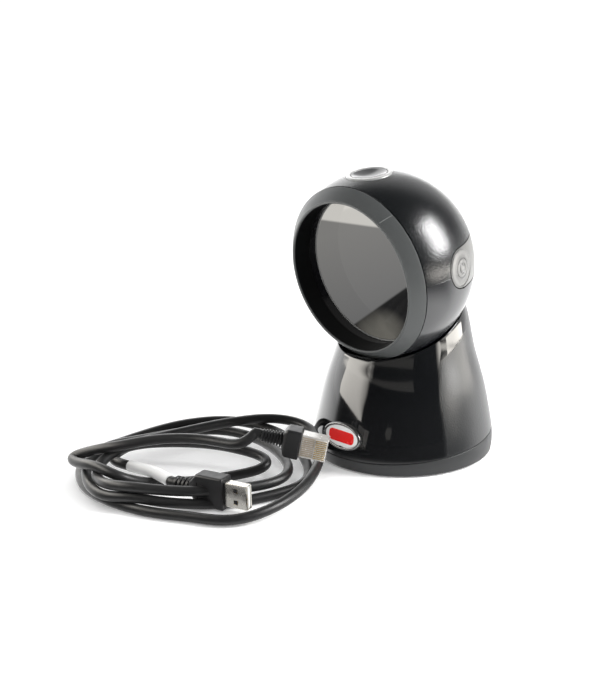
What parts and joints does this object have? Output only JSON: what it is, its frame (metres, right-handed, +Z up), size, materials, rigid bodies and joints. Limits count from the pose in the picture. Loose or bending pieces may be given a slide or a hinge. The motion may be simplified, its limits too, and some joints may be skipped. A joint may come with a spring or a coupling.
{
  "type": "presentation barcode scanner",
  "caption": "Desktop omnidirectional barcode scanner: ball head nodding in a weighted bell base, round recessed window, ringed top button and detached coiled interface lead.",
  "frame": {"origin": "centre of the round underside of the base, on the table", "axes": "+Z up; the scan window faces -Y, so +X is on the viewer's right when facing the window's front; the lead lies on the table towards -X and -Y"},
  "size_m": [0.1482, 0.2088, 0.148],
  "materials": {
    "black_satin": "fine-texture satin black plastic",
    "black_gloss": "polished black plastic",
    "grey_satin": "satin dark grey plastic",
    "foot_grey": "satin charcoal plastic",
    "cap_grey": "polished charcoal plastic",
    "band_grey": "satin black plastic",
    "inner_black": "moulded black plastic",
    "dark_glass": "dark mirror-like window",
    "clear_lens": "coated optical glass",
    "led_resin": "clear white resin",
    "chrome": "polished bright plating",
    "button_dark": "polished dark plastic",
    "badge_white": "gloss white",
    "badge_red": "gloss red",
    "steel": "plain steel",
    "zinc_steel": "zinc-plated steel",
    "iron": "painted cast iron",
    "rubber_black": "fine-ribbed black rubber",
    "friction": "friction fibre",
    "board_green": "solder-masked circuit board",
    "chip_black": "moulded epoxy",
    "brass": "turned brass",
    "gold_contact": "gold-plated contact",
    "cable_black": "satin black cable jacket",
    "overmould": "satin black overmould",
    "label_white": "white printed-stock sleeve, blank",
    "plug_clear": "clear moulded polycarbonate",
    "usb_metal": "nickel-plated pressed steel",
    "usb_white": "white moulded insulator"
  },
  "bodies": {
    "base": {"neck_yoke": "zinc_steel", "yoke_screws": "steel", "base_shell": "black_gloss", "foot_ring": "foot_grey", "bottom_plate": "inner_black", "rubber_pad": "rubber_black", "ballast_weight": "iron", "base_screws": "steel", "ballast_screws": "steel", "base_board": "board_green", "base_board_screws": "steel", "beeper": "chip_black", "lead_socket": "inner_black", "socket_contacts": "gold_contact", "wire_harness": "cable_black", "badge_rim": "chrome", "badge_plate": "badge_white", "badge_label": "badge_red"},
    "head": {"head_upper_shell": "black_satin", "head_lower_shell": "black_gloss", "window_bezel": "grey_satin", "inner_shroud": "inner_black", "window": "dark_glass", "window_gasket": "rubber_black", "rear_band": "band_grey", "side_caps": "cap_grey", "head_screws": "steel", "button_ring": "chrome", "button_spring": "steel", "button_board": "board_green", "button_switch": "chip_black", "button_board_screws": "steel", "tilt_pins": "steel", "friction_washers": "friction", "illumination_board": "board_green", "illumination_leds": "led_resin", "status_leds": "led_resin", "engine_housing": "inner_black", "lens_barrel": "inner_black", "lens": "clear_lens", "image_sensor": "chip_black", "aimer_module": "inner_black", "main_board": "board_green", "board_chips": "chip_black", "board_standoffs": "brass", "board_screws": "steel"},
    "button": {"button_cap": "button_dark"},
    "lead": {"lead_jacket": "cable_black", "lead_label": "label_white", "usb_overmould": "overmould", "usb_strain_relief": "overmould", "usb_shell": "usb_metal", "usb_tongue": "usb_white", "usb_contacts": "gold_contact", "rj_overmould": "overmould", "rj_strain_relief": "overmould", "rj_plug_body": "plug_clear", "rj_contacts": "gold_contact"},
    "latch": {"rj_latch": "plug_clear"}
  },
  "joints": [
    {"name": "head_nod", "type": "hinge", "parent": "base", "child": "head", "pos_m": [0, -0.0167, 0.1007], "axis": [1, 0, 0], "range_deg": [-20, 8]},
    {"name": "button_press", "type": "slide", "parent": "head", "child": "button", "axis": [0, 0.1633, -0.9866], "range_m": [0, 0.001], "stiffness_N_per_m": 600, "deforming": ["button_spring"]},
    {"name": "latch_flex", "type": "hinge", "parent": "lead", "child": "latch", "pos_m": [0.00763, -0.06388, 0.01992], "axis": [0.1638, 0.128, 0.9781], "range_deg": [0, 8], "stiffness_Nm_per_rad": 0.05},
    {"name": "lead_lift", "type": "slide", "parent": "base", "child": "lead", "axis": [0, 0, 1], "range_m": [0, 0.15]}
  ]
}
